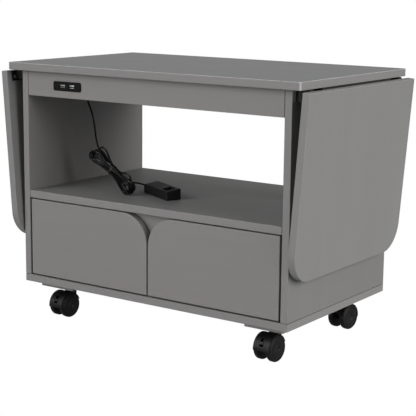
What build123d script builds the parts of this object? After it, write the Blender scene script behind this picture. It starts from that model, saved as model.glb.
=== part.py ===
"""Drop-leaf sewing table on casters: two drawers, an open shelf and a charging module.

Millimetres. Origin: centre of the footprint on the floor. +X right, -Y front, +Z up.
Rest pose: both leaves hang, both drawers are shut.
"""
import os
from math import cos, pi, radians, sin, tan

from build123d import *

os.makedirs("parts", exist_ok=True)

# ---- driving dimensions: carcass -------------------------------------------------------
board = 15.0
body_width = 630.0
body_depth = 370.0
overall_height = 523.0
top_width = 680.0
top_depth = 400.0
base_bottom_z = 75.0
shelf_bottom_z = 250.5
rail_height = 50.0
board_edge = 1.0
board_seam = 0.25
top_edge = 1.5
top_corner_radius = 5.0

base_top_z = base_bottom_z + board
shelf_top_z = shelf_bottom_z + board
top_bottom_z = overall_height - board
rail_bottom_z = top_bottom_z - rail_height
inner_x = body_width / 2 - board
front_y = -body_depth / 2
back_y = body_depth / 2

# ---- driving dimensions: drop leaves and their hinges ----------------------------------
leaf_length = 341.5
leaf_corner_radius = 55.0
leaf_tilt = 4.3
leaf_top_rise = 0.3
hinge_drop = 2.7
hinge_overhang = 0.9
hinge_length = 260.0
knuckle_count = 13
knuckle_gap = 0.3
barrel_radius = 2.5
hinge_pin_radius = 1.25
running_gap = 0.05
hinge_plate_thickness = 1.5
hinge_plate_start = 3.0
top_plate_width = 20.0
leaf_plate_width = 25.0

hinge_x = top_width / 2 + hinge_overhang
hinge_z = top_bottom_z - hinge_drop

# ---- driving dimensions: leaf support brackets -----------------------------------------
bracket_y = 167.0
arm_half_width = 5.0
cheek_inner = 5.2
cheek_outer = 7.2
bracket_reach = 24.5
bracket_drop = 18.0
bracket_pin_radius = 1.5
bracket_barrel_radius = 2.6
bracket_foot_x = -3.0
bracket_throat_x = 4.0
bracket_cam_radius = 10.0
arm_plate_start = 1.0
arm_plate_end = 21.0
arm_plate_half_width = 20.0
arm_notch_end = 9.0
arm_notch_gap = 0.3
rivet_radius = 2.0
rivet_head_radius = 3.4
rivet_head_height = 1.0
rivet_offset = (-16.0, -9.5)

# ---- driving dimensions: drawers -------------------------------------------------------
front_side_gap = 4.0
front_centre_gap = 1.5
front_bottom_gap = 3.0
front_top_gap = 2.5
finger_corner_radius = 58.0
post_half_width = 72.0
post_gap = 2.0
drawer_wall = 12.0
drawer_bottom_thickness = 5.0
drawer_groove_depth = 5.0
drawer_box_height = 118.0
drawer_box_clearance = 12.0
drawer_bottom_inset = 8.0
drawer_back_y = 150.0
glue_gap = 0.1
slide_thickness = 12.7
slide_length = 300.0
slide_setback = 4.0
slide_rise = 60.0
slide_half_height = 22.5
slide_sheet = 1.5
outer_flange_end = 9.0
middle_web = (3.0, 4.5)
middle_flange = (3.0, 10.0)
middle_half_height = 17.0
inner_flange_start = 6.5
inner_half_height = 12.0

# ---- driving dimensions: casters -------------------------------------------------------
caster_x = 250.5
caster_front_y = -120.0
caster_rear_y = 116.0
pad_size = 84.0
pad_thickness = 12.0
plate_size = 60.0
plate_thickness = 2.5
plate_corner = 6.0
plate_hole_pitch = 44.0
plate_hole_radius = 2.2
screw_radius = 2.0
screw_head_radius = 4.0
screw_head_height = 2.2
screw_head_edge = 1.0
screw_bite = 10.5
wheel_radius = 25.0
wheel_inner_x = 8.5
wheel_outer_x = 19.5
wheel_edge = 3.0
wheel_dish_radius = 20.5
wheel_dish_depth = 0.8
caster_trail = 18.0
axle_radius = 3.0
axle_half_length = 17.5
hood_gap = 0.5
hood_sheet = 1.4
hood_half_width = 18.0
web_half_width = 8.0
hub_radius = 9.0
fender_start = 20.0
fender_end = 186.0
boss_radius = 12.0
boss_bottom_z = 44.0
boss_top_z = 57.5
cup_radius = 13.0
cup_gap = 0.5
kingpin_radius = 4.0
kingpin_bottom_z = 47.5
front_swivel = -4.0
rear_swivel = 172.0
pocket_half_width = 4.5
pocket_radii = (12.0, 24.0)
pocket_angles = (112.0, 166.0)
window_start = 130.0
lever_half_width = 4.0
lever_pivot_radius = 19.0
lever_pivot_angle = 128.0
lever_barrel_radius = 2.6
lever_stub_radius = 1.2
lever_stub_half_length = 7.5
lever_arm_radii = (17.0, 21.0)
lever_tab_radius = 28.0
lever_tab_angles = (147.0, 157.0)

# ---- driving dimensions: charging module, cord and adapter -----------------------------
usb_x = -196.5
usb_z = 481.3
bezel_width = 70.0
bezel_height = 18.5
bezel_thickness = 2.0
bezel_corner = 4.0
bezel_edge = 0.8
housing_width = 59.0
housing_height = 13.0
housing_depth = 37.0
port_pitch = 23.5
port_width = 13.1
port_height = 5.7
port_depth = 16.0
port_sheet = 0.3
port_flare = 0.6
tongue_width = 11.0
tongue_thickness = 1.9
tongue_depth = 12.0
tongue_rise = 0.8

cord_diameter = 3.5
arc_share = 0.45
relief_length = 6.0
relief_base_radius = 3.2
relief_tip_radius = 2.2

adapter_centre = (-47.2, -75.3)
adapter_turn = -27.3
adapter_length = 104.0
adapter_width = 32.0
adapter_near_height = 17.5
adapter_far_height = 22.5
adapter_edge = 2.0
adapter_relief_length = 28.0
adapter_relief_base = 3.6
adapter_relief_tip = 2.3
adapter_relief_z = 9.5
blade_pocket_length = 24.0
blade_pocket_width = 20.0
blade_pocket_depth = 8.0
blade_pocket_end = 10.0
blade_pitch = 12.7
blade_height = 6.0
blade_thickness = 1.5
blade_length = 15.0
blade_pivot_radius = 2.0
blade_stub_length = 3.0
blade_end_gap = 1.0

hank_top = (-197.5, -104.0, 348.5)
hank_bottom = (-98.0, -111.0, 274.5)
hank_sections = [
    (0.00, 5.0, 3.5),
    (0.06, 15.0, 5.5),
    (0.20, 19.5, 6.5),
    (0.50, 9.5, 8.0),
    (0.80, 18.0, 7.0),
    (0.94, 14.0, 5.5),
    (1.00, 5.0, 3.5),
]
tie_width = 4.0
tie_thickness = 1.2

lead_points = [
    (-196.5, -142.0, 481.3),
    (-199.0, -125.0, 480.5),
    (-203.5, -114.5, 468.5),
    (-206.0, -115.5, 449.0),
    (-198.2, -113.0, 431.5),
    (-192.6, -112.5, 413.0),
    (-189.0, -112.0, 393.0),
    (-187.0, -111.0, 373.0),
    (-183.5, -108.5, 352.0),
    (-177.0, -105.0, 336.0),
]
tail_points = [
    (-118.3, -38.7, 275.0),
    (-132.6, -31.4, 275.4),
    (-148.4, -37.0, 277.0),
    (-155.4, -52.4, 280.5),
    (-149.6, -68.4, 284.6),
    (-136.0, -84.0, 287.6),
    (-119.0, -103.5, 288.0),
]


# ---- helpers ---------------------------------------------------------------------------
def panel(x_range, y_range, z_range, edge=board_edge):
    """Flat board between two corners, its edges slightly rounded."""
    spans = (x_range, y_range, z_range)
    centre = [(low + high) / 2 for low, high in spans]
    size = [high - low for low, high in spans]
    with BuildPart() as sheet:
        with Locations(tuple(centre)):
            Box(*size)
        if edge > 0:
            fillet(sheet.edges(), edge)
    return sheet


def mirrored_range(side, inner, outer):
    """X range between two distances from the middle, on the given side."""
    return tuple(sorted((side * inner, side * outer)))


def polar(radius, angle):
    """Point at a radius and an angle in degrees."""
    return (radius * cos(radians(angle)), radius * sin(radians(angle)))


def sector(radius, start, end):
    """Pie slice about the origin, as a sketch to add on another plane."""
    with BuildSketch() as slice_sketch:
        with BuildLine():
            Line((0, 0), polar(radius, start))
            ThreePointArc(polar(radius, start), polar(radius, (start + end) / 2), polar(radius, end))
            Line(polar(radius, end), (0, 0))
        make_face()
    return slice_sketch.sketch


def side_plane(side, y):
    """Section plane through a leaf hinge axis: local x outwards, local y up."""
    return Plane(origin=(side * hinge_x, y, hinge_z), x_dir=(side, 0, 0), z_dir=(0, -side, 0))


def leaf_plane(side):
    """Plane through the hinge axis: local x down the hanging leaf, local z through it."""
    lean = radians(leaf_tilt)
    along = (-side * sin(lean), 0, -cos(lean))
    across = (side * cos(lean), 0, -sin(lean))
    return Plane(origin=(side * hinge_x, 0, hinge_z), x_dir=along, z_dir=across)


def fixed_hinge_plane(side):
    """Plane through the hinge axis: local x inwards under the top, local z up."""
    return Plane(origin=(side * hinge_x, 0, hinge_z), x_dir=(-side, 0, 0), z_dir=(0, 0, 1))


sides = {"left": -1, "right": 1}

# ---- carcass boards --------------------------------------------------------------------
with BuildPart() as tabletop:
    with BuildSketch(Plane.XY.offset(top_bottom_z)):
        RectangleRounded(top_width, top_depth, top_corner_radius)
    extrude(amount=board)
    outlines = tabletop.edges().group_by(Axis.Z)
    fillet(outlines[0] + outlines[-1], top_edge)
tabletop.part.label = "tabletop"
export_step(tabletop.part, "parts/tabletop.step")

for side_name, side in sides.items():
    side_panel = panel(
        mirrored_range(side, inner_x, body_width / 2),
        (front_y, back_y),
        (base_top_z + board_seam, top_bottom_z),
    )
    side_panel.part.label = f"side_panel_{side_name}"
    export_step(side_panel.part, f"parts/side_panel_{side_name}.step")

base_panel = panel(
    (-body_width / 2, body_width / 2), (front_y, back_y), (base_bottom_z, base_top_z)
)
base_panel.part.label = "base_panel"
export_step(base_panel.part, "parts/base_panel.step")

# Hairline seams are left where these boards butt against the side panels.
between_sides = (board_seam - inner_x, inner_x - board_seam)
shelf_panel = panel(between_sides, (front_y, back_y), (shelf_bottom_z, shelf_top_z))
shelf_panel.part.label = "shelf_panel"
export_step(shelf_panel.part, "parts/shelf_panel.step")

back_rail = panel(between_sides, (back_y - board, back_y), (rail_bottom_z, top_bottom_z))
back_rail.part.label = "back_rail"
export_step(back_rail.part, "parts/back_rail.step")

back_panel = panel(between_sides, (back_y - board, back_y), (base_top_z, shelf_bottom_z))
back_panel.part.label = "back_panel"
export_step(back_panel.part, "parts/back_panel.step")

# The front rail has a rectangular window for the charging module.
front_rail = panel(between_sides, (front_y, front_y + board), (rail_bottom_z, top_bottom_z))
with front_rail:
    with Locations((usb_x, front_y + board / 2, usb_z)):
        Box(housing_width, board, housing_height, mode=Mode.SUBTRACT)
front_rail.part.label = "front_rail"
export_step(front_rail.part, "parts/front_rail.step")

# The centre post shows behind the finger recess; a partition runs back from each of its ends.
post_front_y = front_y + board + post_gap
with BuildPart() as centre_post:
    with Locations((0, post_front_y + board / 2, (base_top_z + shelf_bottom_z) / 2)):
        Box(2 * post_half_width, board, shelf_bottom_z - base_top_z)
    fillet(centre_post.edges(), board_edge)
centre_post.part.label = "centre_post"
export_step(centre_post.part, "parts/centre_post.step")

partition_y = (post_front_y + board, back_y - board)
with BuildPart() as drawer_partitions:
    for side in sides.values():
        with Locations(
            (
                side * (post_half_width - board / 2),
                sum(partition_y) / 2,
                (base_top_z + shelf_bottom_z) / 2,
            )
        ):
            Box(board, partition_y[1] - partition_y[0], shelf_bottom_z - base_top_z)
    fillet(drawer_partitions.edges(), board_edge)
drawer_partitions.part.label = "drawer_partitions"
export_step(drawer_partitions.part, "parts/drawer_partitions.step")


# ---- drop leaves and piano hinges ------------------------------------------------------
def knuckle_spans(moving):
    """Y centres of the hinge knuckles that belong to the moving or to the fixed plate."""
    pitch = hinge_length / knuckle_count
    first = 1 if moving else 0
    return [(-hinge_length / 2 + (i + 0.5) * pitch) for i in range(first, knuckle_count, 2)]


def hinge_plate(plane, moving, plate_width):
    """One half of a piano hinge, with its knuckles round the pin at the plane's origin."""
    knuckle_length = hinge_length / knuckle_count - knuckle_gap
    low_face = plane.offset(hinge_drop - hinge_plate_thickness)
    axis_x, _, axis_z = plane.origin
    with BuildPart() as plate:
        with BuildSketch(low_face):
            with Locations(((hinge_plate_start + plate_width) / 2, 0)):
                Rectangle(plate_width - hinge_plate_start, hinge_length)
            with Locations(*[(hinge_plate_start / 2, y) for y in knuckle_spans(moving)]):
                Rectangle(hinge_plate_start, knuckle_length)
        extrude(amount=hinge_plate_thickness)
        for y in knuckle_spans(moving):
            section = Plane(origin=(axis_x, y, axis_z), x_dir=(1, 0, 0), z_dir=(0, -1, 0))
            with BuildSketch(section):
                Circle(barrel_radius)
            extrude(amount=knuckle_length / 2, both=True)
        with BuildSketch(Plane(origin=(axis_x, 0, axis_z), x_dir=(1, 0, 0), z_dir=(0, -1, 0))):
            Circle(hinge_pin_radius + running_gap)
        extrude(amount=hinge_length, both=True, mode=Mode.SUBTRACT)
    return plate


for side_name, side in sides.items():
    with BuildPart() as leaf:
        with BuildSketch(leaf_plane(side).offset(hinge_drop)) as leaf_outline:
            with Locations((leaf_length / 2 - leaf_top_rise, 0)):
                Rectangle(leaf_length, top_depth)
            fillet(leaf_outline.vertices().group_by(Axis.X)[-1], leaf_corner_radius)
        extrude(amount=board)
        fillet(leaf.edges(), top_edge)
    leaf.part.label = f"leaf_{side_name}"
    export_step(leaf.part, f"parts/leaf_{side_name}.step")

    leaf_hinge_plate = hinge_plate(leaf_plane(side), True, leaf_plate_width)
    leaf_hinge_plate.part.label = f"leaf_hinge_plate_{side_name}"
    export_step(leaf_hinge_plate.part, f"parts/leaf_hinge_plate_{side_name}.step")

plates_fixed = [hinge_plate(fixed_hinge_plane(s), False, top_plate_width) for s in sides.values()]
with BuildPart() as top_hinge_plates:
    for plate in plates_fixed:
        add(plate.part)
top_hinge_plates.part.label = "top_hinge_plates"
export_step(top_hinge_plates.part, "parts/top_hinge_plates.step")

# ---- leaf support brackets: housing under the top, arm on the leaf ---------------------
bracket_places = [(side, y) for side in sides.values() for y in (-bracket_y, bracket_y)]

with BuildPart() as leaf_bracket_housings:
    for side, y in bracket_places:
        with BuildSketch(side_plane(side, y)):
            with BuildLine():
                arc_top = (0, bracket_barrel_radius)
                arc_end = polar(bracket_barrel_radius, -45)
                Polyline(
                    arc_end,
                    (bracket_foot_x, -bracket_drop),
                    (-bracket_reach, -bracket_drop),
                    (-bracket_reach, hinge_drop),
                    (-hinge_drop, hinge_drop),
                    arc_top,
                )
                ThreePointArc(arc_top, (bracket_barrel_radius, 0), arc_end)
            make_face()
        extrude(amount=cheek_outer, both=True)
        # Channel between the two cheeks, closed by a web under the top.
        with BuildSketch(side_plane(side, y)):
            web_bottom = hinge_drop - hinge_plate_thickness
            with Locations((-bracket_reach / 2, (web_bottom - bracket_drop) / 2)):
                Rectangle(bracket_reach + 2 * bracket_drop, web_bottom + bracket_drop)
            with Locations((bracket_drop / 2 - bracket_throat_x, 0)):
                Rectangle(bracket_drop, 2 * bracket_drop)
        extrude(amount=cheek_inner, both=True, mode=Mode.SUBTRACT)
        with BuildSketch(side_plane(side, y)):
            Circle(bracket_pin_radius)
            with Locations(rivet_offset):
                Circle(rivet_radius)
        extrude(amount=cheek_outer, both=True, mode=Mode.SUBTRACT)
leaf_bracket_housings.part.label = "leaf_bracket_housings"
export_step(leaf_bracket_housings.part, "parts/leaf_bracket_housings.step")

for side_name, side in sides.items():
    plane = leaf_plane(side)
    with BuildPart() as leaf_bracket_arms:
        for y in (-bracket_y, bracket_y):
            axis_plane = Plane(
                origin=(side * hinge_x, y, hinge_z), x_dir=plane.x_dir, z_dir=plane.y_dir
            )
            # Local x runs down the leaf and local y away from it.
            with BuildSketch(axis_plane):
                Circle(bracket_barrel_radius)
                with BuildLine():
                    Line((0, 0), (bracket_cam_radius, 0))
                    ThreePointArc(
                        (bracket_cam_radius, 0), polar(bracket_cam_radius, 45), (0, bracket_cam_radius)
                    )
                    Line((0, bracket_cam_radius), (0, 0))
                make_face()
                with Locations((arm_plate_end / 2, hinge_plate_thickness / 2 - hinge_drop)):
                    Rectangle(arm_plate_end, hinge_plate_thickness)
                Circle(bracket_pin_radius + running_gap, mode=Mode.SUBTRACT)
            extrude(amount=arm_half_width, both=True)
            # The plate on the leaf is wider than the arm and notched round the fixed cheeks.
            with BuildSketch(plane.offset(hinge_drop - hinge_plate_thickness)):
                with Locations(((arm_plate_start + arm_plate_end) / 2, y)):
                    Rectangle(arm_plate_end - arm_plate_start, 2 * arm_plate_half_width)
                for end in (-1, 1):
                    with Locations((0, y + end * (cheek_inner + cheek_outer) / 2)):
                        notch_width = cheek_outer - cheek_inner + 2 * arm_notch_gap
                        Rectangle(2 * arm_notch_end, notch_width, mode=Mode.SUBTRACT)
            extrude(amount=hinge_plate_thickness)
    leaf_bracket_arms.part.label = f"leaf_bracket_arms_{side_name}"
    export_step(leaf_bracket_arms.part, f"parts/leaf_bracket_arms_{side_name}.step")

# Two long hinge pins; at each bracket a pivot pin and a headed rivet.
with BuildPart() as hinge_pins:
    for side in sides.values():
        with BuildSketch(side_plane(side, 0)):
            Circle(hinge_pin_radius)
        extrude(amount=hinge_length / 2, both=True)
    for side, y in bracket_places:
        with BuildSketch(side_plane(side, y)):
            Circle(bracket_pin_radius)
            with Locations(rivet_offset):
                Circle(rivet_radius)
        extrude(amount=cheek_outer, both=True)
        for end in (-1, 1):
            with BuildSketch(side_plane(side, y).offset(end * (cheek_outer + rivet_head_height / 2))):
                with Locations(rivet_offset):
                    Circle(rivet_head_radius)
            extrude(amount=rivet_head_height / 2, both=True)
hinge_pins.part.label = "hinge_pins"
export_step(hinge_pins.part, "parts/hinge_pins.step")

# ---- drawers ---------------------------------------------------------------------------
drawer_box_bottom_z = base_top_z + drawer_box_clearance
slide_start_y = front_y + board + slide_setback
slide_centre_z = drawer_box_bottom_z + slide_rise
front_bottom_z = base_top_z + front_bottom_gap
front_top_z = shelf_bottom_z - front_top_gap
box_back_of_front_y = front_y + board
box_outer_x = inner_x - slide_thickness
box_inner_x = post_half_width + slide_thickness
box_top_z = drawer_box_bottom_z + drawer_box_height
bottom_z = drawer_box_bottom_z + drawer_bottom_inset


def channel(toward, face_x, web, half_height, flange):
    """Straight C-shaped slide member; web and flange are spans measured from a board's face."""
    middle_y = slide_start_y + slide_length / 2
    with BuildPart() as member:
        with Locations((face_x + toward * sum(web) / 2, middle_y, slide_centre_z)):
            Box(web[1] - web[0], slide_length, 2 * half_height)
        for up in (-1, 1):
            flange_z = slide_centre_z + up * (half_height - slide_sheet / 2)
            with Locations((face_x + toward * sum(flange) / 2, middle_y, flange_z)):
                Box(flange[1] - flange[0], slide_length, slide_sheet)
    return member


def slide_faces(side):
    """Board face and direction towards the drawer, for the outer and the inner slide."""
    return [(side * inner_x, -side), (side * post_half_width, side)]


slide_rails = [
    channel(toward, face, (0, slide_sheet), slide_half_height, (0, outer_flange_end))
    for side in sides.values()
    for face, toward in slide_faces(side)
]
with BuildPart() as drawer_slide_rails:
    for rail in slide_rails:
        add(rail.part)
drawer_slide_rails.part.label = "drawer_slide_rails"
export_step(drawer_slide_rails.part, "parts/drawer_slide_rails.step")

for side_name, side in sides.items():
    # Front panel: its inner top corner is cut to a large round, half of the finger recess.
    with BuildPart() as drawer_front:
        with BuildSketch(Plane.XZ.offset(-front_y - board)) as front_outline:
            front_x = mirrored_range(side, front_centre_gap, inner_x - front_side_gap)
            with Locations((sum(front_x) / 2, (front_bottom_z + front_top_z) / 2)):
                Rectangle(front_x[1] - front_x[0], front_top_z - front_bottom_z)
            top_corners = front_outline.vertices().group_by(Axis.Y)[-1].sort_by(Axis.X)
            inner_corner = top_corners[0] if side > 0 else top_corners[-1]
            fillet(inner_corner, finger_corner_radius)
        extrude(amount=board)
        fillet(drawer_front.edges(), board_edge)
    drawer_front.part.label = f"drawer_front_{side_name}"
    export_step(drawer_front.part, f"parts/drawer_front_{side_name}.step")

    # Two sides and, between them, the back; a groove in the sides takes the bottom board.
    box_x = mirrored_range(side, box_inner_x, box_outer_x)
    groove_x = (box_x[0] + drawer_wall - drawer_groove_depth, box_x[1] - drawer_wall + drawer_groove_depth)
    box_middle_x = sum(box_x) / 2
    box_middle_y = (box_back_of_front_y + drawer_back_y) / 2
    box_length = drawer_back_y - box_back_of_front_y
    back_low_z = bottom_z + drawer_bottom_thickness
    with BuildPart() as drawer_walls:
        for wall_x in (box_x[0] + drawer_wall / 2, box_x[1] - drawer_wall / 2):
            with Locations((wall_x, box_middle_y, drawer_box_bottom_z + drawer_box_height / 2)):
                Box(drawer_wall, box_length, drawer_box_height)
        with Locations((box_middle_x, box_middle_y, bottom_z + drawer_bottom_thickness / 2)):
            Box(groove_x[1] - groove_x[0], box_length, drawer_bottom_thickness, mode=Mode.SUBTRACT)
        back_width = box_x[1] - box_x[0] - 2 * (drawer_wall + glue_gap)
        with Locations((box_middle_x, drawer_back_y - drawer_wall / 2, (back_low_z + box_top_z) / 2)):
            Box(back_width, drawer_wall, box_top_z - back_low_z)
    drawer_walls.part.label = f"drawer_walls_{side_name}"
    export_step(drawer_walls.part, f"parts/drawer_walls_{side_name}.step")

    drawer_bottom = panel(
        groove_x,
        (box_back_of_front_y, drawer_back_y),
        (bottom_z, bottom_z + drawer_bottom_thickness),
        0,
    )
    drawer_bottom.part.label = f"drawer_bottom_{side_name}"
    export_step(drawer_bottom.part, f"parts/drawer_bottom_{side_name}.step")

    middle_members = [
        channel(toward, face, middle_web, middle_half_height, middle_flange)
        for face, toward in slide_faces(side)
    ]
    with BuildPart() as slide_middle:
        for member in middle_members:
            add(member.part)
    slide_middle.part.label = f"slide_middle_{side_name}"
    export_step(slide_middle.part, f"parts/slide_middle_{side_name}.step")

    inner_web = (slide_thickness - slide_sheet, slide_thickness)
    inner_members = [
        channel(toward, face, inner_web, inner_half_height, (inner_flange_start, slide_thickness))
        for face, toward in slide_faces(side)
    ]
    with BuildPart() as slide_inner:
        for member in inner_members:
            add(member.part)
    slide_inner.part.label = f"slide_inner_{side_name}"
    export_step(slide_inner.part, f"parts/slide_inner_{side_name}.step")

# ---- casters: pads, plates, screws and kingpins ----------------------------------------
caster_places = {
    "front_left": (-caster_x, caster_front_y, front_swivel),
    "front_right": (caster_x, caster_front_y, front_swivel),
    "rear_left": (-caster_x, caster_rear_y, rear_swivel),
    "rear_right": (caster_x, caster_rear_y, rear_swivel),
}
pad_bottom_z = base_bottom_z - pad_thickness
plate_bottom_z = pad_bottom_z - plate_thickness
hole_places = [
    (x + dx * plate_hole_pitch / 2, y + dy * plate_hole_pitch / 2)
    for x, y, _ in caster_places.values()
    for dx in (-1, 1)
    for dy in (-1, 1)
]

with BuildPart() as caster_pads:
    for x, y, _ in caster_places.values():
        with Locations((x, y, pad_bottom_z + pad_thickness / 2)):
            Box(pad_size, pad_size, pad_thickness)
    fillet(caster_pads.edges(), board_edge)
    with BuildSketch(Plane.XY.offset(pad_bottom_z)):
        with Locations(*hole_places):
            Circle(screw_radius)
    extrude(amount=screw_bite, mode=Mode.SUBTRACT)
caster_pads.part.label = "caster_pads"
export_step(caster_pads.part, "parts/caster_pads.step")

with BuildPart() as caster_plates:
    for x, y, _ in caster_places.values():
        with BuildSketch(Plane.XY.offset(plate_bottom_z)):
            with Locations((x, y)):
                RectangleRounded(plate_size, plate_size, plate_corner)
        extrude(amount=plate_thickness)
        with BuildSketch(Plane.XY.offset(boss_top_z + cup_gap)):
            with Locations((x, y)):
                Circle(cup_radius)
        extrude(amount=plate_bottom_z - boss_top_z - cup_gap)
        with BuildSketch(Plane.XY.offset(boss_top_z)):
            with Locations((x, y)):
                Circle(kingpin_radius)
        extrude(amount=pad_bottom_z - boss_top_z, mode=Mode.SUBTRACT)
    with BuildSketch(Plane.XY.offset(plate_bottom_z)):
        with Locations(*hole_places):
            Circle(plate_hole_radius)
    extrude(amount=plate_thickness, mode=Mode.SUBTRACT)
caster_plates.part.label = "caster_plates"
export_step(caster_plates.part, "parts/caster_plates.step")

with BuildPart() as caster_screws:
    with BuildSketch(Plane.XY.offset(plate_bottom_z)):
        with Locations(*hole_places):
            Circle(screw_radius)
    extrude(amount=plate_thickness + screw_bite)
    with BuildSketch(Plane.XY.offset(plate_bottom_z - screw_head_height)):
        with Locations(*hole_places):
            Circle(screw_head_radius)
    extrude(amount=screw_head_height)
    fillet(caster_screws.faces().sort_by(Axis.Z)[: len(hole_places)].edges(), screw_head_edge)
caster_screws.part.label = "caster_screws"
export_step(caster_screws.part, "parts/caster_screws.step")

with BuildPart() as caster_kingpins:
    with BuildSketch(Plane.XY.offset(kingpin_bottom_z)):
        with Locations(*[(x, y) for x, y, _ in caster_places.values()]):
            Circle(kingpin_radius)
    extrude(amount=pad_bottom_z - kingpin_bottom_z)
caster_kingpins.part.label = "caster_kingpins"
export_step(caster_kingpins.part, "parts/caster_kingpins.step")


# ---- casters: hood, axle, twin wheels and brake lever ----------------------------------
fender_inner = wheel_radius + hood_gap
fender_outer = fender_inner + hood_sheet
fender_profile = sector(fender_outer, fender_start, fender_end)
web_profile = sector(fender_outer - hood_sheet / 2, fender_start, fender_end)
lever_pivot = polar(lever_pivot_radius, lever_pivot_angle)
braked = ("front_left", "front_right")

for caster_name, (x, y, swivel) in caster_places.items():
    axle_dir = Vector(cos(radians(swivel)), sin(radians(swivel)), 0)
    ahead = Vector(-sin(radians(swivel)), cos(radians(swivel)), 0)
    wheel_centre = Vector(x, y, wheel_radius) - ahead * caster_trail
    # Side view of the caster: local x ahead, local y up, local z along the axle.
    side_view = Plane(origin=wheel_centre, x_dir=ahead, z_dir=axle_dir)

    with BuildPart() as caster_hood:
        with BuildSketch(side_view):
            add(fender_profile)
        extrude(amount=hood_half_width, both=True)
        with BuildSketch(Plane.XY.offset(boss_bottom_z)):
            with Locations((x, y)):
                Circle(boss_radius)
        extrude(amount=boss_top_z - boss_bottom_z)
        with BuildSketch(side_view):
            Circle(fender_inner)
        extrude(amount=2 * hood_half_width, both=True, mode=Mode.SUBTRACT)
        with BuildSketch(side_view):
            add(web_profile)
            Circle(hub_radius)
        extrude(amount=web_half_width, both=True)
        if caster_name in braked:
            # Pocket in the web for the brake lever, with a window through the fender.
            with BuildSketch(side_view):
                add(sector(pocket_radii[1], *pocket_angles))
                add(sector(fender_outer + hood_sheet, window_start, pocket_angles[1]))
                Circle(pocket_radii[0], mode=Mode.SUBTRACT)
            extrude(amount=pocket_half_width, both=True, mode=Mode.SUBTRACT)
            with BuildSketch(side_view):
                with Locations(lever_pivot):
                    Circle(lever_stub_radius + running_gap)
            extrude(amount=web_half_width, both=True, mode=Mode.SUBTRACT)
        with BuildSketch(side_view):
            Circle(axle_radius + running_gap)
        extrude(amount=hood_half_width, both=True, mode=Mode.SUBTRACT)
        with BuildSketch(Plane.XY.offset(kingpin_bottom_z - cup_gap)):
            with Locations((x, y)):
                Circle(kingpin_radius + running_gap)
        extrude(amount=boss_top_z - kingpin_bottom_z + cup_gap, mode=Mode.SUBTRACT)
    caster_hood.part.label = f"caster_hood_{caster_name}"
    export_step(caster_hood.part, f"parts/caster_hood_{caster_name}.step")

    with BuildPart() as caster_axle:
        with BuildSketch(side_view):
            Circle(axle_radius)
        extrude(amount=axle_half_length, both=True)
    caster_axle.part.label = f"caster_axle_{caster_name}"
    export_step(caster_axle.part, f"parts/caster_axle_{caster_name}.step")

    # Wheel half-section: local x along the axle, local y outwards from it.
    with BuildPart() as caster_wheels:
        for end in (-1, 1):
            half_section = Plane(origin=wheel_centre, x_dir=axle_dir * end, z_dir=ahead * -end)
            with BuildSketch(half_section) as wheel_profile:
                with Locations(((wheel_inner_x + wheel_outer_x) / 2, wheel_radius / 2)):
                    Rectangle(wheel_outer_x - wheel_inner_x, wheel_radius)
                rim_corners = wheel_profile.vertices().group_by(Axis.Y)[-1]
                fillet(rim_corners, wheel_edge)
                with Locations((wheel_outer_x - wheel_dish_depth / 2, wheel_dish_radius / 2)):
                    Rectangle(wheel_dish_depth, wheel_dish_radius, mode=Mode.SUBTRACT)
                with Locations((axle_half_length / 2, axle_radius / 2)):
                    Rectangle(axle_half_length, axle_radius, mode=Mode.SUBTRACT)
            revolve(axis=Axis(wheel_centre, axle_dir))
    caster_wheels.part.label = f"caster_wheels_{caster_name}"
    export_step(caster_wheels.part, f"parts/caster_wheels_{caster_name}.step")

    if caster_name in braked:
        with BuildPart() as brake_lever:
            with BuildSketch(side_view):
                add(sector(lever_arm_radii[1], lever_pivot_angle, lever_tab_angles[1]))
                add(sector(lever_tab_radius, *lever_tab_angles))
                Circle(lever_arm_radii[0], mode=Mode.SUBTRACT)
                with Locations(lever_pivot):
                    Circle(lever_barrel_radius)
            extrude(amount=lever_half_width, both=True)
            with BuildSketch(side_view):
                with Locations(lever_pivot):
                    Circle(lever_stub_radius)
            extrude(amount=lever_stub_half_length, both=True)
        brake_lever.part.label = f"brake_lever_{caster_name}"
        export_step(brake_lever.part, f"parts/brake_lever_{caster_name}.step")

# ---- charging module in the front rail -------------------------------------------------
port_centres = [(usb_x - port_pitch / 2, usb_z), (usb_x + port_pitch / 2, usb_z)]
bezel_plane = Plane.XZ.offset(-front_y)
housing_back_y = front_y + housing_depth

with BuildPart() as usb_bezel:
    with BuildSketch(bezel_plane):
        with Locations((usb_x, usb_z)):
            RectangleRounded(bezel_width, bezel_height, bezel_corner)
    extrude(amount=bezel_thickness)
    fillet(usb_bezel.faces().sort_by(Axis.Y)[0].edges(), bezel_edge)
    with BuildSketch(bezel_plane):
        with Locations(*port_centres):
            Rectangle(port_width + port_flare, port_height + port_flare)
    extrude(amount=bezel_thickness, mode=Mode.SUBTRACT)
usb_bezel.part.label = "usb_bezel"
export_step(usb_bezel.part, "parts/usb_bezel.step")

with BuildPart() as usb_housing:
    with Locations((usb_x, (front_y + housing_back_y) / 2, usb_z)):
        Box(housing_width, housing_depth, housing_height)
    with BuildSketch(bezel_plane):
        with Locations(*port_centres):
            Rectangle(port_width, port_height)
    extrude(amount=-port_depth, mode=Mode.SUBTRACT)
usb_housing.part.label = "usb_housing"
export_step(usb_housing.part, "parts/usb_housing.step")

with BuildPart() as usb_port_shells:
    with BuildSketch(bezel_plane):
        with Locations(*port_centres):
            Rectangle(port_width, port_height)
            Rectangle(port_width - 2 * port_sheet, port_height - 2 * port_sheet, mode=Mode.SUBTRACT)
    extrude(amount=-port_depth)
usb_port_shells.part.label = "usb_port_shells"
export_step(usb_port_shells.part, "parts/usb_port_shells.step")

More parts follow.
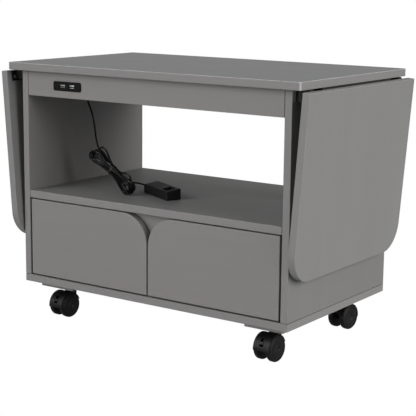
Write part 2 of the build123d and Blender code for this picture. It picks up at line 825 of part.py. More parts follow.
with BuildPart() as usb_port_tongues:
    with BuildSketch(Plane.XZ.offset(-front_y - port_depth)):
        with Locations(*[(px, pz + tongue_rise) for px, pz in port_centres]):
            Rectangle(tongue_width, tongue_thickness)
    extrude(amount=tongue_depth)
usb_port_tongues.part.label = "usb_port_tongues"
export_step(usb_port_tongues.part, "parts/usb_port_tongues.step")


# ---- cord, hank, tie and plug-in adapter -----------------------------------------------
def cone(start, direction, length, base_radius, tip_radius):
    """Round taper from a start point along a direction."""
    plane = Plane(origin=start, z_dir=direction)
    with BuildPart() as taper:
        with BuildSketch(plane):
            Circle(base_radius)
        with BuildSketch(plane.offset(length)):
            Circle(tip_radius)
        loft()
    return taper


def cord_tube(points, label):
    """Round tube along straight runs joined by tangent arcs as large as the runs allow."""
    radii = []
    for before, corner, after in zip(points, points[1:], points[2:]):
        into = Vector(*corner) - Vector(*before)
        out = Vector(*after) - Vector(*corner)
        turn = into.get_angle(out)
        shorter = min(into.length, out.length)
        radii.append(arc_share * shorter / tan(radians(turn) / 2))
    with BuildPart() as tube:
        with BuildLine() as route:
            path = FilletPolyline(*points, radius=radii)
        with BuildSketch(Plane(origin=points[0], z_dir=path % 0)):
            Circle(cord_diameter / 2)
        sweep(path=path)
    expected = path.length * pi * (cord_diameter / 2) ** 2
    least = min(radii) / cord_diameter
    print(label, "radii", [round(r, 1) for r in radii], "least in diameters", round(least, 1))
    print(label, "length", round(path.length, 1), "volume ratio", round(tube.part.volume / expected, 4))
    return tube


usb_strain_relief = cone(
    (usb_x, housing_back_y, usb_z), (0, 1, 0), relief_length, relief_base_radius, relief_tip_radius
)
usb_strain_relief.part.label = "usb_strain_relief"
export_step(usb_strain_relief.part, "parts/usb_strain_relief.step")

cord_lead = cord_tube(lead_points, "cord_lead")
cord_lead.part.label = "cord_lead"
export_step(cord_lead.part, "parts/cord_lead.step")

cord_tail = cord_tube(tail_points, "cord_tail")
cord_tail.part.label = "cord_tail"
export_step(cord_tail.part, "parts/cord_tail.step")

# The hank is a folded bundle tied at its waist, fanned at both ends.
hank_axis = Vector(*hank_bottom) - Vector(*hank_top)
hank_length = hank_axis.length
hank_plane = Plane(origin=hank_top, x_dir=(0, 1, 0), z_dir=hank_axis)
with BuildPart() as cord_hank:
    for fraction, half_width, half_thickness in hank_sections:
        with BuildSketch(hank_plane.offset(fraction * hank_length)):
            Ellipse(half_thickness, half_width)
    loft()
cord_hank.part.label = "cord_hank"
export_step(cord_hank.part, "parts/cord_hank.step")

with BuildPart() as cord_tie:
    waist = hank_sections[3]
    with BuildSketch(hank_plane.offset(0.5 * hank_length - tie_width / 2)):
        Ellipse(waist[2] + tie_thickness, waist[1] + tie_thickness)
    extrude(amount=tie_width)
    add(cord_hank.part, mode=Mode.SUBTRACT)
cord_tie.part.label = "cord_tie"
export_step(cord_tie.part, "parts/cord_tie.step")

# Adapter: wedge-topped case on the shelf, local x along it, its cord end at -x.
adapter_axis = Vector(cos(radians(adapter_turn)), sin(radians(adapter_turn)), 0)
adapter_plane = Plane(
    origin=(*adapter_centre, shelf_top_z), x_dir=adapter_axis, z_dir=(0, 0, 1)
)
adapter_end_view = Plane(
    origin=adapter_plane.origin, x_dir=adapter_plane.y_dir, z_dir=adapter_axis
)
pocket_centre_x = adapter_length / 2 - blade_pocket_end - blade_pocket_length / 2
pocket_floor_z = adapter_near_height - blade_pocket_depth
with BuildPart() as adapter_case:
    with BuildSketch(adapter_end_view):
        Polygon(
            (-adapter_width / 2, 0),
            (adapter_width / 2, 0),
            (adapter_width / 2, adapter_far_height),
            (-adapter_width / 2, adapter_near_height),
            align=None,
        )
    extrude(amount=adapter_length / 2, both=True)
    fillet(adapter_case.edges(), adapter_edge)
    with BuildSketch(adapter_plane.offset(pocket_floor_z)):
        with Locations((pocket_centre_x, 0)):
            Rectangle(blade_pocket_length, blade_pocket_width)
    extrude(amount=adapter_far_height, mode=Mode.SUBTRACT)
    pivot_x = pocket_centre_x + blade_pocket_length / 2 - blade_height / 2 - blade_end_gap
    pivot_z = pocket_floor_z + blade_pocket_depth / 2
    pivot_plane = Plane(
        origin=adapter_plane.origin + adapter_axis * pivot_x + Vector(0, 0, pivot_z),
        x_dir=adapter_axis,
        z_dir=adapter_plane.y_dir,
    )
    with BuildSketch(pivot_plane):
        Circle(blade_pivot_radius + running_gap)
    extrude(amount=blade_pocket_width / 2 + blade_stub_length + running_gap, both=True, mode=Mode.SUBTRACT)
adapter_case.part.label = "adapter_case"
export_step(adapter_case.part, "parts/adapter_case.step")

# Folding blades: a cross bar on its pivot with two flat blades lying in the pocket.
with BuildPart() as adapter_blades:
    with BuildSketch(pivot_plane):
        Circle(blade_pivot_radius)
    extrude(amount=blade_pocket_width / 2 + blade_stub_length, both=True)
    for end in (-1, 1):
        with BuildSketch(pivot_plane.offset(end * blade_pitch / 2)):
            with Locations((-blade_length / 2, 0)):
                Rectangle(blade_length, blade_height)
        extrude(amount=blade_thickness / 2, both=True)
adapter_blades.part.label = "adapter_blades"
export_step(adapter_blades.part, "parts/adapter_blades.step")

relief_start = adapter_plane.origin - adapter_axis * (adapter_length / 2) + Vector(0, 0, adapter_relief_z)
adapter_strain_relief = cone(
    relief_start, adapter_axis * -1, adapter_relief_length, adapter_relief_base, adapter_relief_tip
)
adapter_strain_relief.part.label = "adapter_strain_relief"
export_step(adapter_strain_relief.part, "parts/adapter_strain_relief.step")
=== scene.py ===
"""Looks of the drop-leaf sewing table: laminate, black hardware, the tied cord and a pale studio."""
import math

import bmesh
import bpy
from mathutils import Matrix, Vector


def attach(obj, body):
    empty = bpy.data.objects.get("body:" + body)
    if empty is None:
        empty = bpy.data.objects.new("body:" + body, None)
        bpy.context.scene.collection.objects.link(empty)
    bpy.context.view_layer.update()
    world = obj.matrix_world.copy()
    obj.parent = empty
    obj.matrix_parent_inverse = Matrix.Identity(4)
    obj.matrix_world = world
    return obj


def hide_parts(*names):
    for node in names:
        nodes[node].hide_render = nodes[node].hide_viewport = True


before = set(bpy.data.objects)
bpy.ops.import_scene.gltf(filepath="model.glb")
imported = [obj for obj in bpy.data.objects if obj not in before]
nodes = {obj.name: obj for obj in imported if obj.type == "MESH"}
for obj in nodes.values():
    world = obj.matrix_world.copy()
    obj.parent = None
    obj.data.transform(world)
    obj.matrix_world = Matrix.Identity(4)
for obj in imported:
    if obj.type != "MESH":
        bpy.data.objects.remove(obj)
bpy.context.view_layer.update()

SIDES = ("left", "right")
CASTERS = ("front_left", "front_right", "rear_left", "rear_right")
MM = 0.001


# ---- camera ----------------------------------------------------------------------------
CAMERA_PLACE = Vector((1.4199, -2.0157, 0.7091))
CAMERA_AZIMUTH = math.radians(34.943)
CAMERA_HEIGHT_ANGLE = math.radians(10.863)
CAMERA_ROLL = math.radians(0.609)
CAMERA_LENS = 107.76
CAMERA_SENSOR = 36.0


def make_camera():
    """Long-lens camera in front and to the right, looking slightly down."""
    flat = math.cos(CAMERA_HEIGHT_ANGLE)
    back = Vector(
        (
            math.sin(CAMERA_AZIMUTH) * flat,
            -math.cos(CAMERA_AZIMUTH) * flat,
            math.sin(CAMERA_HEIGHT_ANGLE),
        )
    )
    right = Vector((0, 0, 1)).cross(back).normalized()
    up = back.cross(right)
    cos_roll, sin_roll = math.cos(CAMERA_ROLL), math.sin(CAMERA_ROLL)
    rolled_right = right * cos_roll + up * sin_roll
    rolled_up = up * cos_roll - right * sin_roll
    turn = Matrix((rolled_right, rolled_up, back)).transposed().to_4x4()
    lens = bpy.data.cameras.new("camera")
    lens.lens = CAMERA_LENS
    lens.sensor_width = CAMERA_SENSOR
    lens.clip_end = 100.0
    camera = bpy.data.objects.new("camera", lens)
    camera.matrix_world = Matrix.Translation(CAMERA_PLACE) @ turn
    bpy.context.scene.collection.objects.link(camera)
    bpy.context.scene.camera = camera


make_camera()


# ---- shader helpers --------------------------------------------------------------------
class Shader:
    """Small wrapper for building one node material."""

    def __init__(self, name):
        self.material = bpy.data.materials.new(name)
        self.material.use_nodes = True
        self.tree = self.material.node_tree
        self.surface = self.tree.nodes["Principled BSDF"]

    def node(self, kind, **values):
        made = self.tree.nodes.new(kind)
        for key, value in values.items():
            setattr(made, key, value)
        return made

    def link(self, source, target):
        self.tree.links.new(source, target)

    def set(self, **values):
        for key, value in values.items():
            self.surface.inputs[key.replace("_", " ")].default_value = value
        return self

    def coordinates(self, output="Object"):
        return self.node("ShaderNodeTexCoord").outputs[output]

    def mapped(self, scale, offset=(0, 0, 0), source=None):
        mapping = self.node("ShaderNodeMapping")
        mapping.inputs["Scale"].default_value = scale
        mapping.inputs["Location"].default_value = offset
        self.link(source or self.coordinates(), mapping.inputs["Vector"])
        return mapping.outputs["Vector"]

    def noise(self, vector, scale=1.0, detail=3.0, roughness=0.5, distortion=0.0):
        texture = self.node("ShaderNodeTexNoise")
        texture.inputs["Scale"].default_value = scale
        texture.inputs["Detail"].default_value = detail
        texture.inputs["Roughness"].default_value = roughness
        texture.inputs["Distortion"].default_value = distortion
        self.link(vector, texture.inputs["Vector"])
        return texture.outputs["Fac"]

    def ramp(self, factor, stops):
        made = self.node("ShaderNodeValToRGB")
        elements = made.color_ramp.elements
        while len(elements) < len(stops):
            elements.new(0.5)
        for element, (position, color) in zip(elements, stops):
            element.position = position
            element.color = (*color, 1.0)
        self.link(factor, made.inputs["Fac"])
        return made.outputs["Color"]

    def math(self, operation, first, second=0.5, third=None):
        made = self.node("ShaderNodeMath", operation=operation)
        for socket, value in zip(made.inputs, (first, second, third)):
            if value is None:
                continue
            if isinstance(value, (int, float)):
                socket.default_value = value
            else:
                self.link(value, socket)
        return made.outputs[0]

    def mix(self, factor, first, second, blend_type="MIX"):
        made = self.node("ShaderNodeMix", data_type="RGBA", blend_type=blend_type)
        for socket, value in zip((made.inputs[0], made.inputs[6], made.inputs[7]), (factor, first, second)):
            if isinstance(value, (int, float)):
                socket.default_value = value
            elif isinstance(value, tuple):
                socket.default_value = (*value, 1.0)
            else:
                self.link(value, socket)
        return made.outputs[2]

    def range(self, value, low, high, to_low, to_high):
        made = self.node("ShaderNodeMapRange")
        self.link(value, made.inputs["Value"])
        for key, number in zip(("From Min", "From Max", "To Min", "To Max"), (low, high, to_low, to_high)):
            made.inputs[key].default_value = number
        return made.outputs["Result"]

    def bump(self, height, strength, distance):
        made = self.node("ShaderNodeBump")
        made.inputs["Strength"].default_value = strength
        made.inputs["Distance"].default_value = distance
        self.link(height, made.inputs["Height"])
        self.link(made.outputs["Normal"], self.surface.inputs["Normal"])

    def color(self, source):
        self.link(source, self.surface.inputs["Base Color"])

    def roughness(self, source):
        self.link(source, self.surface.inputs["Roughness"])


AXES = "xyz"


def along(axis, long_scale, cross_scale):
    """Texture scale that stretches a pattern along one axis."""
    return tuple(long_scale if letter == axis else cross_scale for letter in AXES)


# ---- laminate --------------------------------------------------------------------------
GRAIN_DARK = (0.160, 0.158, 0.157)
GRAIN_MIDDLE = (0.166, 0.164, 0.163)
GRAIN_LIGHT = (0.172, 0.170, 0.169)
PORE_SHADE = (0.145, 0.142, 0.140)
EDGE_TINT = (1.0, 0.985, 0.98)
# Painted shade: the board colour is darkened in a narrow band along the butt seams between boards, as if
# shade fell in those creases.
SEAM_PAINTED_SHADE = (0.30, 0.29, 0.28)
SEAM_PAINTED_SHADE_REACH = 1.4 * MM
SEAMS = {"x": 0.300, "z": 0.090}


def grain(shader, axis, offset):
    """Faint printed wood grain along an axis: returns its tone and its pores."""
    place = shader.coordinates()
    wander = shader.noise(shader.mapped(along(axis, 1.5, 6.0), offset), 1.0, 2.0)
    bands = shader.noise(shader.mapped(along(axis, 2.2, 26.0), offset, place), 1.0, 3.0, 0.55, 0.6)
    streaks = shader.noise(shader.mapped(along(axis, 7.0, 300.0), offset, place), 1.0, 4.0, 0.6, 0.25)
    pores = shader.noise(shader.mapped(along(axis, 38.0, 1100.0), offset, place), 1.0, 2.0, 0.5)
    tone = shader.math("MULTIPLY_ADD", bands, 0.30, shader.math("MULTIPLY", streaks, 0.35))
    tone = shader.math("MULTIPLY_ADD", wander, 0.35, tone)
    pits = shader.range(pores, 0.60, 0.72, 0.0, 1.0)
    return tone, pits


def laminate(name, face_axis, grain_axis, seed, tint_and_painted_shade, painted_arris_highlight):
    """Matt grey wood-print laminate, with a painted highlight along its arris and painted shade along butt
    seams.
    """
    shader = Shader(name)
    edge_axis = next(letter for letter in AXES if letter not in (face_axis, grain_axis))
    offset = (seed * 1.7, seed * 2.3, seed * 0.9)
    face_tone, face_pits = grain(shader, grain_axis, offset)
    end_tone, end_pits = grain(shader, edge_axis, offset)

    normal = shader.node("ShaderNodeSeparateXYZ")
    shader.link(shader.coordinates("Normal"), normal.inputs[0])
    toward = {
        letter: shader.math("ABSOLUTE", normal.outputs[index]) for index, letter in enumerate(AXES)
    }
    on_end = shader.math("GREATER_THAN", toward[grain_axis], 0.75)
    on_face = shader.math("GREATER_THAN", toward[face_axis], 0.85)
    widest = shader.math("MAXIMUM", shader.math("MAXIMUM", toward["x"], toward["y"]), toward["z"])
    # Painted highlight mask: the rounded arris, where the fillet turns from one face to the next.
    arris_paint_mask = shader.range(widest, 0.75, 0.985, 1.0, 0.0)

    tone = shader.mix(on_end, face_tone, end_tone)
    pits = shader.mix(on_end, face_pits, end_pits)
    color = shader.ramp(tone, [(0.36, GRAIN_DARK), (0.50, GRAIN_MIDDLE), (0.64, GRAIN_LIGHT)])
    color = shader.mix(shader.math("MULTIPLY", pits, 0.14), color, PORE_SHADE)
    # The face tint carries each board's tone, and for the right side panel it carries painted shade.
    face_tint_and_painted_shade = shader.mix(on_face, EDGE_TINT, tint_and_painted_shade)
    color = shader.mix(1.0, color, face_tint_and_painted_shade, "MULTIPLY")
    place = shader.node("ShaderNodeSeparateXYZ")
    shader.link(shader.coordinates(), place.inputs[0])
    by_side = shader.math("ABSOLUTE", place.outputs["X"])
    # Mask for the painted shade along the butt seams at |x| = 0.300 and z = 0.090.
    painted_seam_shade_mask = shader.math(
        "MAXIMUM",
        shader.math("COMPARE", by_side, SEAMS["x"], SEAM_PAINTED_SHADE_REACH),
        shader.math("COMPARE", place.outputs["Z"], SEAMS["z"], SEAM_PAINTED_SHADE_REACH),
    )
    # The arris colour is a painted highlight, made lighter by a per-board factor, and painted shade where
    # it meets a butt seam.
    arris_highlight_and_seam_shade = shader.mix(painted_seam_shade_mask, (painted_arris_highlight,) * 3, SEAM_PAINTED_SHADE)
    color = shader.mix(1.0, color, shader.mix(arris_paint_mask, (1.0, 1.0, 1.0), arris_highlight_and_seam_shade), "MULTIPLY")
    shader.color(color)
    scuff = shader.noise(shader.mapped((9, 9, 9), offset), 1.0, 4.0)
    shader.roughness(shader.math("MULTIPLY_ADD", scuff, 0.12, 0.47))
    height = shader.math("MULTIPLY_ADD", pits, -0.6, tone)
    shader.bump(height, 0.12, 0.0002)
    shader.set(Specular_IOR_Level=0.3)
    return shader.material


COOL = (0.985, 1.0, 1.02)
NEUTRAL = (1.0, 1.0, 0.99)
WARM = (1.0, 0.97, 0.955)
# Painted shade: a darker copy of the laminate tint for the right side panel, standing in for the shadow
# cast by the hanging leaf.
PAINTED_SHADE_TINT = (0.86, 0.86, 0.85)
# Per board: face axis, grain axis, tint, and how much lighter its arris is painted as a painted highlight.
BOARDS = {
    "tabletop": ("z", "x", COOL, 2.1),
    "shelf_panel": ("z", "x", NEUTRAL, 1.1),
    "base_panel": ("z", "x", NEUTRAL, 1.1),
    "side_panel_left": ("x", "z", WARM, 1.0),
    "side_panel_right": ("x", "z", PAINTED_SHADE_TINT, 1.0),
    "front_rail": ("y", "x", WARM, 1.0),
    "back_rail": ("y", "x", WARM, 1.0),
    "back_panel": ("y", "x", NEUTRAL, 1.0),
    "centre_post": ("y", "x", WARM, 1.0),
    "drawer_partitions": ("x", "z", NEUTRAL, 1.0),
    "caster_pads": ("z", "x", NEUTRAL, 1.0),
    "leaf_left": ("x", "z", NEUTRAL, 1.2),
    "leaf_right": ("x", "z", NEUTRAL, 1.2),
    "drawer_front_left": ("y", "x", WARM, 1.05),
    "drawer_front_right": ("y", "x", WARM, 1.05),
}


def dress(node, material):
    """Gives a CAD node one material."""
    slots = nodes[node].material_slots
    if not slots:
        nodes[node].data.materials.append(material)
        return
    for slot in slots:
        slot.material = material


for seed, (board, (face_axis, grain_axis, tint_and_painted_shade, painted_arris_highlight)) in enumerate(BOARDS.items()):
    dress(board, laminate(f"laminate_{board}", face_axis, grain_axis, seed + 1, tint_and_painted_shade, painted_arris_highlight))


# ---- drawer boxes ----------------------------------------------------------------------
def drawer_foil(name):
    """Plain pale-grey foil with a faint woven print."""
    shader = Shader(name)
    weave = shader.noise(shader.mapped((900, 900, 260)), 1.0, 2.0)
    cloud = shader.noise(shader.mapped((6, 6, 6)), 1.0, 3.0)
    tone = shader.math("MULTIPLY_ADD", weave, 0.5, shader.math("MULTIPLY", cloud, 0.5))
    shader.color(shader.ramp(tone, [(0.35, (0.24, 0.235, 0.23)), (0.65, (0.30, 0.295, 0.288))]))
    shader.roughness(shader.range(cloud, 0.3, 0.7, 0.5, 0.62))
    shader.bump(weave, 0.12, 0.0001)
    return shader.material


foil = drawer_foil("drawer_foil")
for side in SIDES:
    dress(f"drawer_walls_{side}", foil)
    dress(f"drawer_bottom_{side}", foil)


# ---- metals and plastics ---------------------------------------------------------------
def steel(name, color, low, high, metallic=1.0, scratch=(40, 700, 700)):
    """Metal with fine draw lines and patchy gloss."""
    shader = Shader(name)
    lines = shader.noise(shader.mapped(scratch), 1.0, 3.0)
    patches = shader.noise(shader.mapped((55, 55, 55)), 1.0, 3.0)
    shade = tuple(channel * 0.78 for channel in color)
    shader.color(shader.ramp(lines, [(0.3, shade), (0.7, color)]))
    shader.roughness(shader.range(patches, 0.3, 0.7, low, high))
    shader.bump(lines, 0.08, 0.0001)
    shader.set(Metallic=metallic)
    return shader.material


PLASTIC_GLOSS = 0.12


def moulded(name, color, low, high, texture_size=0.0009, depth=0.00012, strength=0.35, gloss=PLASTIC_GLOSS):
    """Moulded plastic: spark-eroded grain, slight colour drift, uneven sheen."""
    shader = Shader(name)
    grit = shader.noise(shader.mapped((1 / texture_size,) * 3), 1.0, 2.0, 0.6)
    drift = shader.noise(shader.mapped((30, 30, 30)), 1.0, 3.0)
    lighter = tuple(channel * 1.4 + 0.001 for channel in color)
    shader.color(shader.ramp(drift, [(0.35, color), (0.7, lighter)]))
    shader.roughness(shader.range(drift, 0.3, 0.7, low, high))
    shader.bump(grit, strength, depth)
    shader.set(Specular_IOR_Level=gloss)
    return shader.material


dark_zinc = steel("dark_zinc", (0.22, 0.22, 0.22), 0.35, 0.5)
zinc = steel("zinc", (0.62, 0.62, 0.60), 0.25, 0.42)
chrome = steel("port_steel", (0.80, 0.80, 0.81), 0.12, 0.25)
brass = steel("blade_brass", (0.72, 0.62, 0.38), 0.2, 0.35)
black_steel = moulded("black_steel", (0.007, 0.007, 0.007), 0.35, 0.5, 0.0006, 0.00008)
caster_black = moulded("caster_black", (0.005, 0.0045, 0.0046), 0.32, 0.48)
tread_black = moulded("tread_black", (0.005, 0.0045, 0.0046), 0.38, 0.55, 0.0012)
module_black = moulded("module_black", (0.003, 0.0028, 0.0028), 0.35, 0.5, 0.0006, gloss=0.05)
adapter_black = moulded("adapter_black", (0.006, 0.0055, 0.006), 0.34, 0.46, 0.0007)
rubber_black = moulded("rubber_black", (0.006, 0.006, 0.006), 0.5, 0.62, 0.0008)
cord_black = moulded("cord_black", (0.002, 0.002, 0.002), 0.16, 0.24, 0.004, 0.00002, 0.1, 0.05)
tongue_white = moulded("tongue_white", (0.62, 0.62, 0.60), 0.3, 0.4, 0.001, 0.00003)

for node_name, material in {
    "top_hinge_plates": black_steel,
    "leaf_bracket_housings": black_steel,
    "hinge_pins": black_steel,
    "caster_plates": black_steel,
    "caster_screws": zinc,
    "caster_kingpins": zinc,
    "drawer_slide_rails": zinc,
    "usb_bezel": module_black,
    "usb_housing": module_black,
    "usb_port_shells": chrome,
    "usb_port_tongues": tongue_white,
    "usb_strain_relief": rubber_black,
    "adapter_case": adapter_black,
    "adapter_blades": brass,
    "adapter_strain_relief": rubber_black,
    "cord_tie": rubber_black,
}.items():
    dress(node_name, material)
for side in SIDES:
    dress(f"leaf_hinge_plate_{side}", black_steel)
    dress(f"leaf_bracket_arms_{side}", black_steel)
    dress(f"slide_middle_{side}", zinc)
    dress(f"slide_inner_{side}", zinc)
for caster in CASTERS:
    dress(f"caster_hood_{caster}", caster_black)
    dress(f"caster_axle_{caster}", zinc)
    dress(f"caster_wheels_{caster}", tread_black)
for caster in CASTERS[:2]:
    dress(f"brake_lever_{caster}", caster_black)


# ---- cord ------------------------------------------------------------------------------
CORD_DIAMETER = 3.5 * MM
LEAD_POINTS = [
    (-0.1965, -0.1420, 0.4813),
    (-0.1990, -0.1250, 0.4805),
    (-0.2035, -0.1145, 0.4685),
    (-0.2060, -0.1155, 0.4490),
    (-0.1982, -0.1130, 0.4315),
    (-0.1926, -0.1125, 0.4130),
    (-0.1890, -0.1120, 0.3930),
    (-0.1870, -0.1110, 0.3730),
    (-0.1835, -0.1085, 0.3520),
]
TAIL_POINTS = [
    (-0.1270, -0.1030, 0.2915),
    (-0.1180, -0.1015, 0.2885),
    (-0.1115, -0.0960, 0.2875),
    (-0.1120, -0.0875, 0.2875),
    (-0.1195, -0.0825, 0.2875),
    (-0.1340, -0.0800, 0.2870),
    (-0.1496, -0.0684, 0.2846),
    (-0.1554, -0.0524, 0.2805),
    (-0.1484, -0.0370, 0.2770),
    (-0.1326, -0.0314, 0.2754),
    (-0.1183, -0.0387, 0.2750),
]
HANK_TOP = Vector((-0.1975, -0.1040, 0.3485))
HANK_BOTTOM = Vector((-0.0980, -0.1110, 0.2745))
STRAND_PITCH = 3.5 * MM
LOOP_PAIRS = 8
LOOP_LAYER_PITCH = 1.5 * MM
# Per pair, in mm: how far the loop leans across, its half width, and how far it stops short.
UPPER_LOOPS = [
    (9.0, 10.0, -1.0),
    (5.0, 9.5, 4.0),
    (8.0, 10.0, 2.0),
    (2.0, 9.5, 6.0),
    (-2.0, 10.0, 9.0),
    (-10.0, 11.0, 9.0),
    (9.5, 10.5, 3.0),
    (6.0, 10.0, 0.0),
]
LOWER_LOOPS = [
    (-3.0, 13.0, -4.0),
    (2.0, 11.0, -0.5),
    (-5.0, 12.0, -5.5),
    (5.0, 9.5, 3.5),
    (-1.0, 10.0, 4.0),
    (-11.0, 11.5, 13.0),
    (2.5, 12.0, 1.5),
    (-4.0, 10.0, -2.0),
]


def waist_places():
    """Strand centres at the tied waist, hexagonally packed, left side then right side in turn."""
    row = STRAND_PITCH * math.sqrt(3) / 2
    lefts = [(-0.5, -2), (-1, -1), (-2, -1), (-1.5, 0), (-0.5, 0), (-2, 1), (-1, 1), (-0.5, 2), (0, 1)]
    rights = [(0.5, -2), (1, -1), (2, -1), (1.5, 0), (0.5, 0), (2, 1), (1, 1), (0.5, 2)]
    places = []
    for index, left in enumerate(lefts):
        places.append((left[0] * STRAND_PITCH, left[1] * row))
        if index < len(rights):
            places.append((rights[index][0] * STRAND_PITCH, rights[index][1] * row))
    return places


HANK_AXIS = (HANK_BOTTOM - HANK_TOP).normalized()
HANK_DEPTH = Vector((0, 1, 0))
HANK_WIDTH = HANK_DEPTH.cross(HANK_AXIS)
HANK_MIDDLE = (HANK_TOP + HANK_BOTTOM) / 2
HANK_HALF_LENGTH = (HANK_BOTTOM - HANK_TOP).length / 2


def hank_loop(start, end, toward, lean, half_width, shorter, layer):
    """Control points of one loop: from a waist place out to an end of the hank and back."""
    reach = HANK_HALF_LENGTH - shorter
    round_start = reach - half_width
    stations = [(0.38 * reach, 0.62), (round_start - half_width * 0.77, 1.0), (round_start, 1.05)]
    tip = [(round_start + half_width * 0.742, 0.742), (round_start + half_width * 1.05, 0.0)]
    going = stations + tip
    coming = [(distance, -side) for distance, side in reversed(stations + tip[:1])]
    points = []
    turn_side = 1 if end[0] < start[0] else -1
    for distance, side in going + coming:
        share = distance / reach
        strand = start if side * turn_side > 0 else end
        held = max(0.0, 1.0 - share * 2.0)
        across = lean * share + side * turn_side * half_width + strand[0] * held
        deep = layer * min(1.0, share * 1.6) + strand[1] * held
        along_axis = HANK_AXIS * (toward * distance)
        points.append(HANK_MIDDLE + along_axis + HANK_WIDTH * across + HANK_DEPTH * deep)
    return points


def hank_points():
    """The folded, tied bundle: loops go down and up in turn through the waist."""
    places = waist_places()

    def at_waist(place):
        return HANK_MIDDLE + HANK_WIDTH * place[0] + HANK_DEPTH * place[1]

    points = [at_waist(places[0])]
    for pair in range(LOOP_PAIRS):
        layer = (pair - (LOOP_PAIRS - 1) / 2) * LOOP_LAYER_PITCH
        for toward, loops, start, end in (
            (1, LOWER_LOOPS, places[2 * pair], places[2 * pair + 1]),
            (-1, UPPER_LOOPS, places[2 * pair + 1], places[2 * pair + 2]),
        ):
            lean, half_width, shorter = (number * MM for number in loops[pair])
            points += hank_loop(start, end, toward, lean, half_width, shorter, layer)
            points.append(at_waist(end))
    return points


def cord_curve(name, points, radius):
    """Round cord along one smooth open spline."""
    curve = bpy.data.curves.new(name, "CURVE")
    curve.dimensions = "3D"
    curve.bevel_depth = radius
    curve.bevel_resolution = 4
    curve.use_fill_caps = True
    curve.resolution_u = 8
    spline = curve.splines.new("NURBS")
    spline.points.add(len(points) - 1)
    for target, point in zip(spline.points, points):
        target.co = (*point, 1.0)
    spline.order_u = 3
    spline.use_endpoint_u = True
    curve.materials.append(cord_black)
    made = bpy.data.objects.new(name, curve)
    bpy.context.scene.collection.objects.link(made)
    return made


cord = cord_curve("cord", LEAD_POINTS + hank_points() + TAIL_POINTS, CORD_DIAMETER / 2)
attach(cord, "root")
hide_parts("cord_lead", "cord_hank", "cord_tail")


# ---- added hardware --------------------------------------------------------------------
def new_piece(name, shape, material, body):
    """Turns a finished shape into a smooth-shaded piece on a body."""
    mesh = bpy.data.meshes.new(name)
    shape.to_mesh(mesh)
    shape.free()
    for face in mesh.polygons:
        face.use_smooth = True
    mesh.materials.append(material)
    made = bpy.data.objects.new(name, mesh)
    bpy.context.scene.collection.objects.link(made)
    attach(made, body)
    return made


def lathe(shape, profile, place, axis, segments=32):
    """Adds a turned solid: profile of (distance along the axis, radius) pairs."""
    turn = Vector((0, 0, 1)).rotation_difference(Vector(axis)).to_matrix().to_4x4()
    frame_of = Matrix.Translation(Vector(place)) @ turn
    rings = []
    for height, radius in profile:
        if radius == 0:
            rings.append([shape.verts.new(frame_of @ Vector((0, 0, height)))])
            continue
        ring = []
        for step in range(segments):
            angle = 2 * math.pi * step / segments
            spot = Vector((radius * math.cos(angle), radius * math.sin(angle), height))
            ring.append(shape.verts.new(frame_of @ spot))
        rings.append(ring)
    for low, high in zip(rings, rings[1:]):
        for step in range(segments):
            after = (step + 1) % segments
            corners = [
                low[step % len(low)],
                low[after % len(low)],
                high[after % len(high)],
                high[step % len(high)],
            ]
            unique = list(dict.fromkeys(corners))
            if len(unique) > 2:
                shape.faces.new(unique)


def scaled(profile, size=MM):
    """Profile in millimetres turned into metres."""
    return [(height * size, radius * size) for height, radius in profile]


LEAF_TILT = math.radians(4.3)
HINGE_X = 0.3409
HINGE_Z = 0.5053
PLATE_INNER_FACE = 1.2 * MM
SCREW_DOWN = 12.5 * MM
SCREW_PLACES_Y = (-0.1785, -0.1545, 0.1545, 0.1785)
SCREW_PROFILE = scaled([(0.0, 3.6), (0.5, 3.5), (1.1, 2.7), (1.4, 1.6), (1.2, 1.3), (0.7, 0.0)])


def leaf_screws(side_name, side):
    """Pan-head screws through each bracket plate into the leaf."""
    down = Vector((-side * math.sin(LEAF_TILT), 0, -math.cos(LEAF_TILT)))
    inward = Vector((-side * math.cos(LEAF_TILT), 0, math.sin(LEAF_TILT)))
    hinge = Vector((side * HINGE_X, 0, HINGE_Z))
    shape = bmesh.new()
    for place_y in SCREW_PLACES_Y:
        place = hinge + down * SCREW_DOWN - inward * PLATE_INNER_FACE + Vector((0, place_y, 0))
        lathe(shape, SCREW_PROFILE, place, inward, 24)
    new_piece(f"leaf_screws_{side_name}", shape, dark_zinc, f"leaf_{side_name}")


for side_name, side in (("left", -1), ("right", 1)):
    leaf_screws(side_name, side)

WHEEL_CAP_PROFILE = scaled(
    [(17.9, 20.2), (19.1, 20.2), (19.3, 19.9), (19.3, 5.2), (19.15, 5.0), (19.15, 0.0)]
)
CASTER_SWIVELS = {
    "front_left": (-0.2505, -0.120, -4.0),
    "front_right": (0.2505, -0.120, -4.0),
    "rear_left": (-0.2505, 0.116, 172.0),
    "rear_right": (0.2505, 0.116, 172.0),
}
CASTER_TRAIL = 18.0 * MM
WHEEL_RADIUS = 25.0 * MM

for caster, (pin_x, pin_y, swivel) in CASTER_SWIVELS.items():
    turn = math.radians(swivel)
    axle = Vector((math.cos(turn), math.sin(turn), 0))
    ahead = Vector((-math.sin(turn), math.cos(turn), 0))
    hub = Vector((pin_x, pin_y, WHEEL_RADIUS)) - ahead * CASTER_TRAIL
    shape = bmesh.new()
    for end in (-1, 1):
        lathe(shape, WHEEL_CAP_PROFILE, hub, axle * end, 48)
    new_piece(f"wheel_caps_{caster}", shape, caster_black, f"wheels_{caster}")


def ribbed(length, base, tip, ribs, wrap=0.45):
    """Strain-relief profile: a taper with evenly spaced ribs."""
    profile = [(0.0, 0.0), (0.0, base)]
    for rib in range(ribs):
        for part, proud in ((0.15, 0.0), (0.30, wrap), (0.70, wrap), (0.85, 0.0)):
            share = (rib + part) / ribs
            profile.append((share * length, base + (tip - base) * share + proud))
    profile += [(length, tip), (length, 0.0)]
    return scaled(profile)


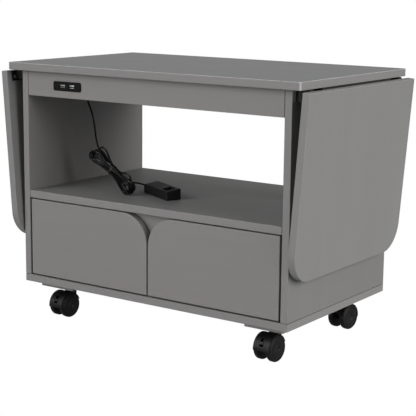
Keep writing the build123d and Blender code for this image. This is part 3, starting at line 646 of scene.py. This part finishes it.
RELIEFS = {
    "usb_strain_relief": ((-0.1965, -0.1480, 0.4813), (0, 1, 0), ribbed(6.0, 2.9, 2.1, 3)),
    "adapter_strain_relief": (
        (-0.0934119, -0.0514501, 0.2750),
        (-0.888617, 0.458650, 0),
        ribbed(28.0, 3.5, 2.2, 8),
    ),
}
for relief_name, (place, axis, profile) in RELIEFS.items():
    shape = bmesh.new()
    lathe(shape, profile, place, axis, 28)
    relief = new_piece(f"{relief_name}_ribbed", shape, rubber_black, "root")
    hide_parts(relief_name)


# ---- studio ----------------------------------------------------------------------------
FLOOR_HALF_SIZE = 45.0
SURROUND_STRENGTH = 0.35


def make_floor():
    """Glowing white floor, far larger than the view, that shows no shadow.

    It is hidden from diffuse and glossy rays, so it adds no light or reflection to the table.
    """
    mesh = bpy.data.meshes.new("floor")
    shape = bmesh.new()
    bmesh.ops.create_grid(shape, x_segments=1, y_segments=1, size=FLOOR_HALF_SIZE)
    shape.to_mesh(mesh)
    shape.free()
    floor = bpy.data.objects.new("floor", mesh)
    bpy.context.scene.collection.objects.link(floor)
    shader = Shader("floor_paper")
    shader.set(Base_Color=(0.0, 0.0, 0.0, 1.0), Roughness=0.9, Specular_IOR_Level=0.0)
    shader.set(Emission_Color=(1.0, 1.0, 1.0, 1.0), Emission_Strength=1.0)
    mesh.materials.append(shader.material)
    floor.visible_diffuse = False
    floor.visible_glossy = False


def far_light(name, toward, power, spread):
    """Even light from a direction, its spread in degrees, as from a distant panel."""
    lamp = bpy.data.lights.new(name, "SUN")
    lamp.energy = power
    lamp.angle = math.radians(spread)
    made = bpy.data.objects.new(name, lamp)
    made.rotation_euler = Vector(toward).to_track_quat("Z", "Y").to_euler()
    bpy.context.scene.collection.objects.link(made)
    return made


def make_world(strength):
    """Even white surround."""
    world = bpy.data.worlds.new("surround")
    world.use_nodes = True
    world.node_tree.nodes["Background"].inputs["Color"].default_value = (1, 1, 1, 1)
    world.node_tree.nodes["Background"].inputs["Strength"].default_value = strength
    bpy.context.scene.world = world


make_floor()
make_world(SURROUND_STRENGTH)
far_light("front_left", (-0.40, -0.87, 0.30), 2.46, 50)
far_light("right", (0.93, 0.05, 0.30), 3.85, 50)
far_light("above", (0.0, 0.1, 1.0), 0.12, 60)
behind = far_light("behind", (-0.3, 0.9, 0.3), 0.6, 50)
behind.visible_glossy = False
glint = far_light("glint", (-0.25, -0.85, 0.75), 4.0, 4)
glint.visible_diffuse = False
bpy.context.scene.view_settings.view_transform = "Standard"
